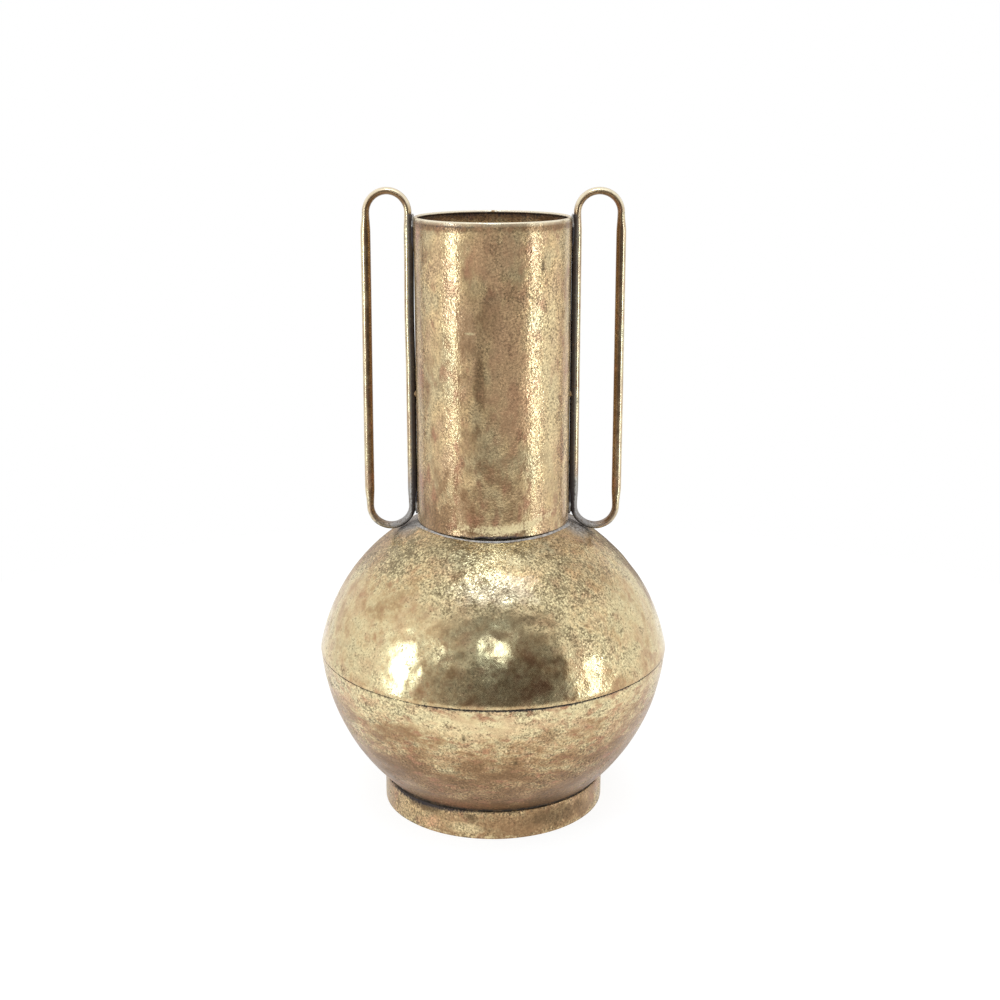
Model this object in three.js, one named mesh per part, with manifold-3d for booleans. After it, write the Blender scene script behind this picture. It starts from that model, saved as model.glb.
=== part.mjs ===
// Metal amphora: two hammered bowls lapped at the belly, a rolled neck with a curled rim, a rolled foot ring
// and two loop handles of bent tube, all brazed together.
// Millimetres, +Z up. The origin is on the table, under the centre of the foot ring.
import * as THREE from 'three';
import { mergeVertices } from 'three/addons/utils/BufferGeometryUtils.js';
import Module from 'manifold-3d';

const wasm = await Module();
wasm.setup();

// Belly
const BELLY_DIAMETER = 238;
const SEAM_HEIGHT = 111.4;
const SHOULDER_HEIGHT = 200.5;
const UPPER_BOWL_RADIUS = 122.5;
const LOWER_BOWL_RADIUS = 138;
const BOWL_WALL = 1;
const FLOOR_HEIGHT = 6;
const FLOOR_KNUCKLE_RADIUS = 8;
const LAP_LENGTH = 7;
const SEAM_STEP = 0.5;
const SEAM_GAP = 0.5;
const SEAM_BRAZE_WIDTH = 1.8;
const SEAM_BRAZE_RISE = 2.2;

// Neck
const NECK_DIAMETER = 102;
const NECK_WALL = 1;
const RIM_HEIGHT = 402.5;
const RIM_BEAD_RADIUS = 1.1;
const COLLAR_LENGTH = 8;
const NECK_BRAZE_WIDTH = 2;
const NECK_BRAZE_RISE = 0.6;

// Foot ring
const FOOT_DIAMETER = 152.5;
const FOOT_HEIGHT = 19.7;
const FOOT_WALL = 1.5;
const FOOT_BRAZE_RISE = 2.6;
const FOOT_BRAZE_BULGE = 0.5;

// Rolled sheets meet edge to edge at the back, and the joint is filled with braze
const SHEET_JOINT_WIDTH = 2;

// Handles
const TUBE_DIAMETER = 6.35;
const TUBE_WALL = 0.8;
const HANDLE_WIDTH = 34.4;
const HANDLE_RISE = 18.4;
const HANDLE_GAP = 1;
const TUBE_JOINT_RISE = 30;
const TUBE_JOINT_WIDTH = 1.4;
const TUBE_JOINT_BEAD = 0.25;

// A bent tube goes flat, and this share of the loss is on the outside of the bend
const BEND_THICKNESS = 4.7;
const OUTER_WALL_SHARE = 0.67;
const FLATTENING_RUN = 13;

// Braze tacks between handle and neck: half sizes across, along the wall and up
const TACK_HALF_ACROSS = 2.4;
const TOP_TACK = { drop: 1.5, halfWidth: 3.4, halfHeight: 3.2 };
const MIDDLE_TACK = { rise: 86, halfWidth: 2.6, halfHeight: 2.2 };
const BOTTOM_TACK = { drop: 3.2, halfWidth: 3.2, halfHeight: 2.6 };

// Brazed pieces keep this much room to their neighbours
const SEAT_GAP = 0.3;

// Facets
const ROUND_STEPS = 48;
const BOWL_STEPS = 9;
const LIP_STEPS = 2;
const EDGE_STEPS = 4;
const BEAD_STEPS = 9;
const BEND_STEPS = 12;
const FLATTENING_STEPS = 3;
const TUBE_SIDES = 14;
const LUMP_SIDES = 16;
const LUMP_RINGS = 10;

// Looks
const BRASS = { color: 0xb2935f, roughness: 0.42, metalness: 0.9 };
const DARK_BRASS = { color: 0x8f7750, roughness: 0.5, metalness: 0.85 };
const BRAZE = { color: 0x9b9484, roughness: 0.5, metalness: 0.8 };

// Radii and places worked out from the driving dimensions
const neckRadius = NECK_DIAMETER / 2;
const neckInside = neckRadius - NECK_WALL;
const collarRadius = neckInside - SEAT_GAP;
const footRadius = FOOT_DIAMETER / 2;
const footInside = footRadius - FOOT_WALL;
const tubeRadius = TUBE_DIAMETER / 2;

const point = (radius, height) => new THREE.Vector2(radius, height);

// Centre of the arc that runs from a low to a high profile point and bulges away from the axis
function arcCentre(low, high, radius) {
  const chord = high.clone().sub(low);
  const inward = point(-chord.y, chord.x).normalize();
  const depth = Math.sqrt(radius ** 2 - chord.lengthSq() / 4);
  return low.clone().addScaledVector(chord, 0.5).addScaledVector(inward, depth);
}

// A bowl's section is one arc about this centre
const upperCentre = arcCentre(
  point(BELLY_DIAMETER / 2, SEAM_HEIGHT),
  point(neckRadius, SHOULDER_HEIGHT),
  UPPER_BOWL_RADIUS,
);
const ledgeHeight = SEAM_HEIGHT - BOWL_WALL / 2 - SEAM_GAP;
const lowerCentre = arcCentre(
  point(footInside - SEAT_GAP, FOOT_HEIGHT),
  point(BELLY_DIAMETER / 2 - SEAM_STEP, ledgeHeight),
  LOWER_BOWL_RADIUS,
);

// Angle at which an arc reaches a height, on its outer side
const angleAtHeight = (centre, radius, height) => Math.asin((height - centre.y) / radius);

// Point of an arc at a height, on its outer side
function pointAtHeight(centre, radius, height) {
  return point(centre.x + Math.sqrt(radius ** 2 - (height - centre.y) ** 2), height);
}

// Point of the shoulder, or of a face raised above it, at a distance from the axis
function shoulderPoint(distance, lift = 0) {
  const run = distance - upperCentre.x;
  return point(distance, upperCentre.y + Math.sqrt((UPPER_BOWL_RADIUS + lift) ** 2 - run ** 2));
}

function arcPoints(centre, radius, from, to, steps) {
  return Array.from({ length: steps + 1 }, (_, i) => {
    const angle = from + (to - from) * i / steps;
    return point(centre.x + radius * Math.cos(angle), centre.y + radius * Math.sin(angle));
  });
}

// Arc on its outer side, from one height to another
function arcByHeight(centre, radius, from, to, steps) {
  const [start, end] = [from, to].map((height) => angleAtHeight(centre, radius, height));
  return arcPoints(centre, radius, start, end, steps);
}

// Solid of revolution about Z. The profile runs anticlockwise and starts and ends on the axis.
function revolve(profile) {
  return new THREE.LatheGeometry(profile, ROUND_STEPS).rotateX(Math.PI / 2);
}

// Ring about Z, from a profile that runs anticlockwise and is closed here
function revolveRing(profile) {
  return revolve([...profile, profile[0]]);
}

function toSolid(geometry) {
  const bare = geometry.clone();
  bare.deleteAttribute('normal');
  bare.deleteAttribute('uv');
  const merged = mergeVertices(bare);
  return new wasm.Manifold(new wasm.Mesh({
    numProp: 3,
    vertProperties: new Float32Array(merged.attributes.position.array),
    triVerts: new Uint32Array(merged.index.array),
  }));
}

function toGeometry(solid) {
  const mesh = solid.getMesh();
  const geometry = new THREE.BufferGeometry();
  geometry.setAttribute('position', new THREE.BufferAttribute(mesh.vertProperties, 3));
  geometry.setIndex(new THREE.BufferAttribute(mesh.triVerts, 1));
  geometry.computeVertexNormals();
  return geometry;
}

// Upright block across the back of a rolled sheet, as wide as the joint or as the braze in it.
// It stands past the sheet at both ends.
function backBlock(width, radius, height) {
  const block = new THREE.BoxGeometry(width, radius, 2 * height);
  return toSolid(block.translate(0, radius, height / 2));
}

// A rolled sheet open along its joint, and the strip of braze that fills the joint
function rolledSheet(ring, radius, height) {
  const whole = toSolid(ring);
  return {
    sheet: toGeometry(whole.subtract(backBlock(SHEET_JOINT_WIDTH, radius, height))),
    braze: toGeometry(whole.intersect(backBlock(SHEET_JOINT_WIDTH - 2 * SEAT_GAP, radius, height))),
  };
}

// Upper bowl: a rounded edge at the seam, the dome, and a collar turned up inside the neck
function upperBowl() {
  const inside = UPPER_BOWL_RADIUS - BOWL_WALL;
  const seamAngle = angleAtHeight(upperCentre, UPPER_BOWL_RADIUS, SEAM_HEIGHT);
  const collarFoot = shoulderPoint(collarRadius);
  const collarFootInside = shoulderPoint(collarRadius - BOWL_WALL, -BOWL_WALL);
  const angleTo = (p) => Math.atan2(p.y - upperCentre.y, p.x - upperCentre.x);
  const collarTop = collarFoot.y + COLLAR_LENGTH;
  const [edgeCentre] = arcPoints(upperCentre, UPPER_BOWL_RADIUS - BOWL_WALL / 2, seamAngle, seamAngle, 1);
  const edge = arcPoints(edgeCentre, BOWL_WALL / 2, seamAngle - Math.PI, seamAngle, EDGE_STEPS);
  return revolveRing([
    ...arcPoints(upperCentre, UPPER_BOWL_RADIUS, seamAngle, angleTo(collarFoot), BOWL_STEPS),
    point(collarRadius, collarTop),
    point(collarRadius - BOWL_WALL, collarTop),
    ...arcPoints(upperCentre, inside, angleTo(collarFootInside), seamAngle, BOWL_STEPS),
    ...edge.slice(1, -1),
  ]);
}

// Radius, about the upper bowl's centre, of the lip that goes up inside that bowl
const lipRadius = UPPER_BOWL_RADIUS - BOWL_WALL - SEAT_GAP;
const lipTop = SEAM_HEIGHT + LAP_LENGTH;

// Lower bowl: flat floor, knuckle, wall, and a lip stepped in so that it goes up inside the upper bowl
function lowerBowl() {
  const wallInside = LOWER_BOWL_RADIUS - BOWL_WALL;
  const lipInside = lipRadius - BOWL_WALL;
  const knuckleReach = LOWER_BOWL_RADIUS - FLOOR_KNUCKLE_RADIUS;
  const knuckleInside = FLOOR_KNUCKLE_RADIUS - BOWL_WALL;
  const knuckleCentre = pointAtHeight(lowerCentre, knuckleReach, FLOOR_HEIGHT + FLOOR_KNUCKLE_RADIUS);
  const knuckleEnd = angleAtHeight(lowerCentre, knuckleReach, knuckleCentre.y);
  const wallEnd = angleAtHeight(lowerCentre, LOWER_BOWL_RADIUS, ledgeHeight);
  const wallEndInside = angleAtHeight(lowerCentre, wallInside, ledgeHeight - 2 * BOWL_WALL);
  const straightDown = -Math.PI / 2;
  return revolve([
    point(0, FLOOR_HEIGHT),
    ...arcPoints(knuckleCentre, FLOOR_KNUCKLE_RADIUS, straightDown, knuckleEnd, EDGE_STEPS),
    ...arcPoints(lowerCentre, LOWER_BOWL_RADIUS, knuckleEnd, wallEnd, BOWL_STEPS).slice(1),
    ...arcByHeight(upperCentre, lipRadius, ledgeHeight, lipTop, LIP_STEPS),
    ...arcByHeight(upperCentre, lipInside, lipTop, ledgeHeight - BOWL_WALL, LIP_STEPS),
    ...arcPoints(lowerCentre, wallInside, wallEndInside, knuckleEnd, BOWL_STEPS),
    ...arcPoints(knuckleCentre, knuckleInside, knuckleEnd, straightDown, EDGE_STEPS).slice(1),
    point(0, FLOOR_HEIGHT + BOWL_WALL),
  ]);
}

// Fillet inside the belly, on the lip's top edge against the upper bowl
function bellySeamBraze() {
  const foot = pointAtHeight(upperCentre, lipRadius, lipTop + SEAT_GAP);
  const top = pointAtHeight(upperCentre, lipRadius, foot.y + SEAM_BRAZE_RISE);
  return revolveRing([foot, top, point(foot.x - SEAM_BRAZE_WIDTH, foot.y)]);
}

// Neck: rests on the shoulder with its inner edge, and its top edge is curled inwards into a bead
function neckRing() {
  const foot = shoulderPoint(neckInside, SEAT_GAP).y;
  const beadCentre = point(neckRadius - RIM_BEAD_RADIUS, RIM_HEIGHT - RIM_BEAD_RADIUS);
  const curlEnd = 2 * Math.PI - Math.acos((neckInside - beadCentre.x) / RIM_BEAD_RADIUS);
  return revolveRing([
    point(neckRadius, foot),
    ...arcPoints(beadCentre, RIM_BEAD_RADIUS, 0, curlEnd, BEAD_STEPS),
    point(neckInside, foot),
  ]);
}

// Low bead on the shoulder, against the foot of the neck
function neckBaseBraze() {
  const inner = shoulderPoint(neckRadius + SEAT_GAP, SEAT_GAP);
  const outer = shoulderPoint(inner.x + NECK_BRAZE_WIDTH, SEAT_GAP);
  const crest = point(inner.x + NECK_BRAZE_WIDTH / 2, inner.y + NECK_BRAZE_RISE / 2);
  return revolveRing([inner, outer, crest, point(inner.x, inner.y + NECK_BRAZE_RISE)]);
}

// Foot ring: a strip on edge with its top edge rounded over
function footRing() {
  const edgeCentre = point(footRadius - FOOT_WALL / 2, FOOT_HEIGHT - FOOT_WALL / 2);
  return revolveRing([
    point(footRadius, 0),
    ...arcPoints(edgeCentre, FOOT_WALL / 2, 0, Math.PI, EDGE_STEPS),
    point(footInside, 0),
  ]);
}

// Bead in the groove between the top of the foot ring and the overhanging bowl
function footBraze() {
  const against = LOWER_BOWL_RADIUS + SEAT_GAP;
  const inner = pointAtHeight(lowerCentre, against, FOOT_HEIGHT + SEAT_GAP);
  const outer = point(Math.max(footRadius, inner.x + FOOT_BRAZE_BULGE), inner.y);
  const top = pointAtHeight(lowerCentre, against, inner.y + FOOT_BRAZE_RISE);
  const waist = pointAtHeight(lowerCentre, against + FOOT_BRAZE_BULGE, (outer.y + top.y) / 2);
  return revolveRing([inner, outer, waist, top]);
}

// The handle is a loop in the XZ plane beside the neck: two legs and two half-round bends.
// Its lower bend comes to rest on the shoulder.
const loopHalfWidth = HANDLE_WIDTH / 2;
const loopX = neckRadius + HANDLE_GAP + loopHalfWidth;
const bendReach = loopHalfWidth - OUTER_WALL_SHARE * (TUBE_DIAMETER - BEND_THICKNESS);
const topBend = RIM_HEIGHT + HANDLE_RISE - bendReach;
const reachToShoulder = UPPER_BOWL_RADIUS + SEAT_GAP + bendReach;
const lowBend = upperCentre.y + Math.sqrt(reachToShoulder ** 2 - (loopX - upperCentre.x) ** 2);
const tubeJoint = lowBend + TUBE_JOINT_RISE;

// How far the tube is flattened at a height: fully in the bends, fading out along the legs
function flatness(height) {
  const fromBend = Math.min(topBend - height, height - lowBend);
  return 1 - THREE.MathUtils.smoothstep(fromBend, 0, FLATTENING_RUN);
}

// Stations round the loop, from one tube end to the other: height of the centre and direction out of the loop
function handleStations() {
  const step = FLATTENING_RUN / FLATTENING_STEPS;
  const nearBend = Array.from({ length: FLATTENING_STEPS + 1 }, (_, i) => i * step);
  const belowTop = nearBend.map((distance) => topBend - distance);
  const aboveLow = nearBend.map((distance) => lowBend + distance);
  const legAt = (angle) => (height) => ({ height, angle });
  const bendAt = (height, from) => Array.from({ length: BEND_STEPS - 1 }, (_, i) => (
    { height, angle: from - Math.PI * (i + 1) / BEND_STEPS }
  ));
  const innerLeg = legAt(Math.PI);
  const outerLeg = legAt(0);
  return [
    innerLeg(tubeJoint + TUBE_JOINT_WIDTH / 2),
    ...belowTop.toReversed().map(innerLeg),
    ...bendAt(topBend, Math.PI),
    ...belowTop.map(outerLeg),
    ...aboveLow.toReversed().map(outerLeg),
    ...bendAt(lowBend, 0),
    ...aboveLow.map(innerLeg),
    innerLeg(tubeJoint - TUBE_JOINT_WIDTH / 2),
  ];
}

// Rings of points round the tube, set in from its outer face. A flattened section keeps the tube's girth.
function handleRings(inset) {
  return handleStations().map(({ height, angle }) => {
    const half = THREE.MathUtils.lerp(tubeRadius, BEND_THICKNESS / 2, flatness(height));
    const halfDeep = Math.sqrt(2 * tubeRadius ** 2 - half ** 2);
    const outerLoss = OUTER_WALL_SHARE * 2 * (tubeRadius - half);
    const outward = new THREE.Vector3(Math.cos(angle), 0, Math.sin(angle));
    const offset = outward.clone().multiplyScalar(loopHalfWidth - outerLoss - half);
    const centre = new THREE.Vector3(loopX, 0, height).add(offset);
    return Array.from({ length: TUBE_SIDES }, (_, i) => {
      const turn = 2 * Math.PI * i / TUBE_SIDES;
      const rim = centre.clone().addScaledVector(outward, (half - inset) * Math.cos(turn));
      rim.y += (halfDeep - inset) * Math.sin(turn);
      return rim;
    });
  });
}

// Closed skin over a loop of rings, the last joined to the first
function skin(rings) {
  const sides = rings[0].length;
  const faces = rings.flatMap((ring, i) => ring.flatMap((_, j) => {
    const near = i * sides;
    const far = (i + 1) % rings.length * sides;
    const next = (j + 1) % sides;
    return [near + j, far + j, far + next, near + j, far + next, near + next];
  }));
  const geometry = new THREE.BufferGeometry().setFromPoints(rings.flat());
  geometry.setIndex(faces);
  geometry.computeVertexNormals();
  return geometry;
}

function handleTube() {
  return skin([...handleRings(0), ...handleRings(TUBE_WALL).toReversed()]);
}

// Disc of braze between the two ends of the tube, with a low bead round it
function tubeJointBraze() {
  const half = TUBE_JOINT_WIDTH / 2 - SEAT_GAP;
  const disc = new THREE.LatheGeometry([
    point(0, -half),
    point(tubeRadius, -half),
    point(tubeRadius + TUBE_JOINT_BEAD, 0),
    point(tubeRadius, half),
    point(0, half),
  ], TUBE_SIDES);
  const legX = neckRadius + HANDLE_GAP + tubeRadius;
  return disc.rotateX(Math.PI / 2).translate(legX, 0, tubeJoint);
}

// Room that the neck and the handle take, which the tacks are cut back from
const neckRoom = toSolid(
  new THREE.CylinderGeometry(neckRadius + SEAT_GAP, neckRadius + SEAT_GAP, 2 * RIM_HEIGHT, ROUND_STEPS)
    .rotateX(Math.PI / 2).translate(0, 0, RIM_HEIGHT),
);
const handleRoom = toSolid(skin(handleRings(-SEAT_GAP)));

// Lump of braze in the gap between neck and handle
function tack(height, { halfWidth, halfHeight }) {
  const lump = new THREE.SphereGeometry(1, LUMP_SIDES, LUMP_RINGS);
  lump.scale(TACK_HALF_ACROSS, halfWidth, halfHeight);
  lump.translate(neckRadius + HANDLE_GAP / 2, 0, height);
  return toGeometry(toSolid(lump).subtract(neckRoom).subtract(handleRoom));
}

function piece(name, geometry, look) {
  const mesh = new THREE.Mesh(geometry, new THREE.MeshStandardMaterial(look));
  mesh.name = name;
  return mesh;
}

// A handle with the braze of its joint and its tacks. The second one is turned to the other side of the neck.
function handleAssembly(side, turn) {
  const group = new THREE.Group();
  group.rotation.z = turn;
  group.add(
    piece(`${side}_handle`, handleTube(), BRASS),
    piece(`${side}_handle_joint_braze`, tubeJointBraze(), BRAZE),
    piece(`${side}_handle_top_tack`, tack(RIM_HEIGHT - TOP_TACK.drop, TOP_TACK), BRAZE),
    piece(`${side}_handle_middle_tack`, tack(SHOULDER_HEIGHT + MIDDLE_TACK.rise, MIDDLE_TACK), BRAZE),
    piece(`${side}_handle_bottom_tack`, tack(lowBend - BOTTOM_TACK.drop, BOTTOM_TACK), BRAZE),
  );
  return group;
}

const neck = rolledSheet(neckRing(), neckRadius, RIM_HEIGHT);
const foot = rolledSheet(footRing(), footRadius, FOOT_HEIGHT);

const amphora = new THREE.Group();
amphora.add(
  piece('foot_ring', foot.sheet, DARK_BRASS),
  piece('foot_seam_braze', foot.braze, BRAZE),
  piece('foot_braze', footBraze(), BRAZE),
  piece('lower_bowl', lowerBowl(), BRASS),
  piece('upper_bowl', upperBowl(), BRASS),
  piece('belly_seam_braze', bellySeamBraze(), BRAZE),
  piece('neck_tube', neck.sheet, BRASS),
  piece('neck_seam_braze', neck.braze, BRAZE),
  piece('neck_base_braze', neckBaseBraze(), BRAZE),
  handleAssembly('right', 0),
  handleAssembly('left', Math.PI),
);

export default amphora;
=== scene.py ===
"""Metal amphora with an antique-brass finish, dressed over its CAD frame. Metres, +Z up, seen from -Y."""
import math
import random

import bpy
import numpy as np
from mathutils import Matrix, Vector, kdtree, noise


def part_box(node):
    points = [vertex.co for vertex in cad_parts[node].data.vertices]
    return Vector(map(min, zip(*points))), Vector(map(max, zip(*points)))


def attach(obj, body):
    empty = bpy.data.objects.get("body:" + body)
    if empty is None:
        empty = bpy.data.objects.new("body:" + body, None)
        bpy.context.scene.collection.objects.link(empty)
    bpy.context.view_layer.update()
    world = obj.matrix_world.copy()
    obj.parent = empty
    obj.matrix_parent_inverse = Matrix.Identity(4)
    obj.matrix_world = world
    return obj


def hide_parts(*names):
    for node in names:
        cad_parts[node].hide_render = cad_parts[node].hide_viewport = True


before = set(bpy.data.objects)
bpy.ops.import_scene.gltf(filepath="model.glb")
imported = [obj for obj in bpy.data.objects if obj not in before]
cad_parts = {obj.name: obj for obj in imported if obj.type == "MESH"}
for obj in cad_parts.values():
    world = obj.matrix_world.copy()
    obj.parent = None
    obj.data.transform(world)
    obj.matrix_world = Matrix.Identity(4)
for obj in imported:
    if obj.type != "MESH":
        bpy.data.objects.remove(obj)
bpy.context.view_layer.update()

MM = 0.001
WHOLE_TURN = 2 * math.pi
BACK = math.pi / 2

# Sizes that the boxes of the frame don't give
UPPER_BOWL_RADIUS = 122.5 * MM
LOWER_BOWL_RADIUS = 138 * MM
SHOULDER_HEIGHT = 200.5 * MM
BOWL_WALL = 1 * MM
KNUCKLE_RADIUS = 8 * MM
SEAM_STEP = 0.5 * MM
SEAM_GAP = 0.5 * MM
NECK_WALL = 1 * MM
RIM_BEAD_RADIUS = 1.1 * MM
FOOT_WALL = 1.5 * MM
SHEET_JOINT_WIDTH = 2 * MM
TUBE_RADIUS = 6.35 / 2 * MM
TUBE_WALL = 0.8 * MM
BEND_THICKNESS = 4.7 * MM
OUTER_WALL_SHARE = 0.67
FLATTENING_RUN = 13 * MM
TUBE_JOINT_RISE = 30 * MM
TUBE_JOINT_WIDTH = 1.4 * MM
SEAT_GAP = 0.3 * MM

# Sizes and heights that the frame gives
neck_low, neck_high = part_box("neck_tube")
upper_low, upper_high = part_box("upper_bowl")
lower_low, lower_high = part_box("lower_bowl")
foot_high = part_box("foot_ring")[1]
handle_low, handle_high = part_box("right_handle")
NECK_RADIUS = neck_high.x
NECK_FOOT = neck_low.z
RIM_HEIGHT = neck_high.z
BELLY_RADIUS = upper_high.x
SEAM_HEIGHT = upper_low.z + BOWL_WALL / 2
COLLAR_TOP = upper_high.z
FLOOR_HEIGHT = lower_low.z
LIP_TOP = lower_high.z
FOOT_RADIUS = foot_high.x
FOOT_HEIGHT = foot_high.z

# Fineness of the meshes
BOWL_TURN_STEPS = 360
SHEET_TURN_STEPS = 224
BEAD_TURN_STEPS = 300
TUBE_SIDES = 28
SHARP_ANGLE = math.radians(50)


# Profiles

def arc_centre(low, high, radius):
    """Centre of the arc from a low to a high profile point that bulges away from the axis."""
    chord = Vector(high) - Vector(low)
    inward = Vector((-chord.y, chord.x)).normalized()
    depth = math.sqrt(radius ** 2 - chord.length_squared / 4)
    return Vector(low) + chord / 2 + inward * depth


def arc_points(centre, radius, start, end, steps):
    angles = np.linspace(start, end, steps + 1)
    return [(centre[0] + radius * math.cos(a), centre[1] + radius * math.sin(a)) for a in angles]


def angle_at_height(centre, radius, height):
    return math.asin((height - centre[1]) / radius)


def arc_by_height(centre, radius, start, end, steps):
    """Arc on its outer side, from one height to another."""
    ends = [angle_at_height(centre, radius, height) for height in (start, end)]
    return arc_points(centre, radius, *ends, steps)


def radius_at_height(centre, radius, height):
    return centre[0] + math.sqrt(radius ** 2 - (height - centre[1]) ** 2)


neck_inside = NECK_RADIUS - NECK_WALL
collar_radius = neck_inside - SEAT_GAP
upper_centre = arc_centre((BELLY_RADIUS, SEAM_HEIGHT), (NECK_RADIUS, SHOULDER_HEIGHT), UPPER_BOWL_RADIUS)
ledge_height = SEAM_HEIGHT - BOWL_WALL / 2 - SEAM_GAP
lower_centre = arc_centre(
    (FOOT_RADIUS - FOOT_WALL - SEAT_GAP, FOOT_HEIGHT),
    (BELLY_RADIUS - SEAM_STEP, ledge_height),
    LOWER_BOWL_RADIUS,
)


def shoulder_at(distance, lift=0.0):
    """Height of the shoulder, or of a face raised above it, at a distance from the axis."""
    run = distance - upper_centre.x
    return upper_centre.y + np.sqrt((UPPER_BOWL_RADIUS + lift) ** 2 - run ** 2)


# Fields over points

SEED_SHIFT = Vector((7.3, 3.1, 5.7))


def wander(points, size, seed):
    """Smooth noise between about -1 and 1 at each point, with features of that size."""
    offset = SEED_SHIFT * seed
    return np.array([noise.noise(Vector(p) / size + offset) for p in points])


def fade(value, low, high):
    """Smooth step from 0 at low to 1 at high."""
    t = np.clip((value - low) / (high - low), 0, 1)
    return t * t * (3 - 2 * t)


def near(value, place, width):
    """1 at a place, falling to 0 at a distance of width."""
    return 1 - fade(np.abs(value - place), 0, width)


def distance_from_axis(points):
    return np.hypot(points[:, 0], points[:, 1])


def degrees_from_front(points):
    """Angle about the axis, 0 in front and positive to the right."""
    return np.degrees(np.arctan2(points[:, 0], -points[:, 1]))


def hammered(points, blows):
    """Depth left at each point by blows of (centre, radius, depth)."""
    tree = kdtree.KDTree(len(points))
    for i, p in enumerate(points):
        tree.insert(p, i)
    tree.balance()
    depth = np.zeros(len(points))
    for centre, radius, deepest in blows:
        for _, i, distance in tree.find_range(centre, radius):
            depth[i] += deepest * (1 - (distance / radius) ** 2) ** 2
    return depth


# Hammer blows, as shares of the pitch between them, and how seldom one goes deep
BLOW_STRAY = 0.4
BLOW_SIZES = (0.5, 0.95)
DEEP_BLOW_RARITY = 1.5


def blows_in_rows(centre, radius, low, high, pitch, deepest, seed):
    """Hammer blows in uneven rows round a bowl, between two heights."""
    pick = random.Random(seed)
    first, last = (angle_at_height(centre, radius, height) for height in (low, high))
    rows = round((last - first) * radius / pitch)
    blows = []
    for row in range(rows + 1):
        middle = first + (last - first) * row / rows
        count = round(WHOLE_TURN * (centre[0] + radius * math.cos(middle)) / pitch)
        for k in range(count):
            rise = middle + pick.uniform(-BLOW_STRAY, BLOW_STRAY) * pitch / radius
            turn = WHOLE_TURN * (k + pick.uniform(-BLOW_STRAY, BLOW_STRAY)) / count
            distance = centre[0] + radius * math.cos(rise)
            height = centre[1] + radius * math.sin(rise)
            place = Vector((distance * math.cos(turn), distance * math.sin(turn), height))
            size = pitch * pick.uniform(*BLOW_SIZES)
            blows.append((place, size, deepest * pick.random() ** DEEP_BLOW_RARITY))
    return blows


# Meshes

def make_object(name, points, faces, marks):
    """Object from points and faces, with one value per point for each named mark.

    The marks are the grime mark (dirt, and painted shade in joints, gaps and insides), brown (tarnish, and
    on some parts painted shade), clean (free of tarnish), the wear mark (scuffed pale, and painted
    highlights), the polish mark (smoother metal with a painted highlight), coarse (rough grain) and scorch
    (heated grey).
    """
    mesh = bpy.data.meshes.new(name)
    mesh.from_pydata([tuple(p) for p in points], [], faces)
    mesh.polygons.foreach_set("use_smooth", [True] * len(mesh.polygons))
    mesh.set_sharp_from_angle(angle=SHARP_ANGLE)
    for mark, values in marks.items():
        layer = mesh.attributes.new(mark, "FLOAT", "POINT")
        layer.data.foreach_set("value", np.maximum(values, 0).astype(np.float32))
    made = bpy.data.objects.new(name, mesh)
    bpy.context.scene.collection.objects.link(made)
    return made


def revolve(name, profile, steps, push=None, mark=None, span=None, closed=True):
    """Turn an anticlockwise profile of (radius, height) points about Z.

    push moves the points and mark gives their marks. span is the part of a turn to make, as two angles, with
    a cap at each end. A profile that isn't closed gets a flat disc over each end.
    """
    start, end = span or (0, WHOLE_TURN)
    angles = np.linspace(start, end, steps, endpoint=span is not None)
    radii, heights = np.array(profile).T
    count = len(profile)
    points = np.column_stack([
        np.outer(np.cos(angles), radii).ravel(),
        np.outer(np.sin(angles), radii).ravel(),
        np.tile(heights, steps),
    ])
    faces = []
    for i in range(steps - 1 if span else steps):
        here, there = i * count, (i + 1) % steps * count
        for j in range(count if closed else count - 1):
            k = (j + 1) % count
            faces.append((here + j, there + j, there + k, here + k))
    if not closed:
        faces.append(tuple(range(0, steps * count, count))[::-1])
        faces.append(tuple(range(count - 1, steps * count, count)))
    if span:
        last = (steps - 1) * count
        faces.append(tuple(range(count)))
        faces.append(tuple(range(last, last + count))[::-1])
    return make_object(name, push(points) if push else points, faces, mark(points) if mark else {})


def push_radially(points, offset):
    """Move points away from the axis by an offset of their own."""
    scale = 1 + offset / np.maximum(distance_from_axis(points), MM)
    return points * np.column_stack([scale, scale, np.ones(len(points))])


def push_from_arc(points, centre, radius, swell):
    """Move the points of a bowl's sheet along the normal of its outer face by swell(points on that face)."""
    distance = distance_from_axis(points)
    normal = np.column_stack([distance - centre[0], points[:, 2] - centre[1]])
    normal /= np.linalg.norm(normal, axis=1)[:, None]
    turn = points[:, :2] / np.maximum(distance, MM)[:, None]
    face_distance = centre[0] + radius * normal[:, :1]
    face = np.column_stack([turn * face_distance, centre[1] + radius * normal[:, 1]])
    return points + np.column_stack([turn * normal[:, :1], normal[:, 1]]) * swell(face)[:, None]


def lumpy(points, size, height, seed):
    """Points moved by noise in all three directions."""
    shift = np.column_stack([wander(points, size, seed + k) for k in range(3)])
    return points + shift * height


# Materials

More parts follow.
